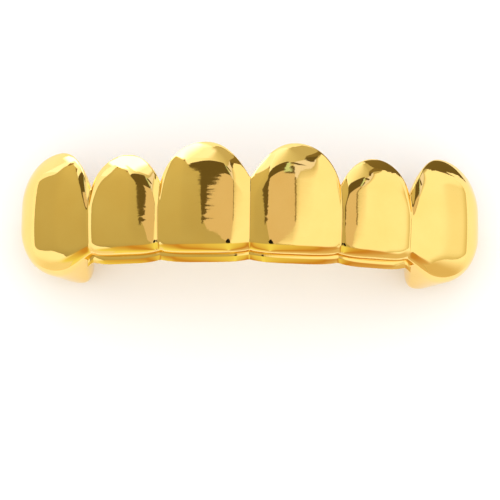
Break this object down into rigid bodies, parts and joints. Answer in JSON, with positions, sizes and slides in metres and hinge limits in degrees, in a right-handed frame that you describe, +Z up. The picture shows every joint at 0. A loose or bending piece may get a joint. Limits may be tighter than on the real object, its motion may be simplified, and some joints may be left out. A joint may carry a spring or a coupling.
{
  "type": "grillz tooth cover",
  "caption": "Removable polished gold-plated cover for the upper front teeth, a row of hollow tooth caps with domed faces and scalloped gum rims, open towards the gums.",
  "frame": {"origin": "on the surface that the cover lies on, under the middle of its bounding box", "axes": "+X along the row of caps, which is the cover's long way and across its mirror plane, +Y towards the gums, +Z up from the back of the caps to their faces"},
  "size_m": [0.046, 0.013, 0.0127],
  "materials": {
    "gold_plate": "mirror-polished gold plating on brass"
  },
  "bodies": {
    "root": {"upper_grill": "gold_plate"}
  },
  "joints": []
}
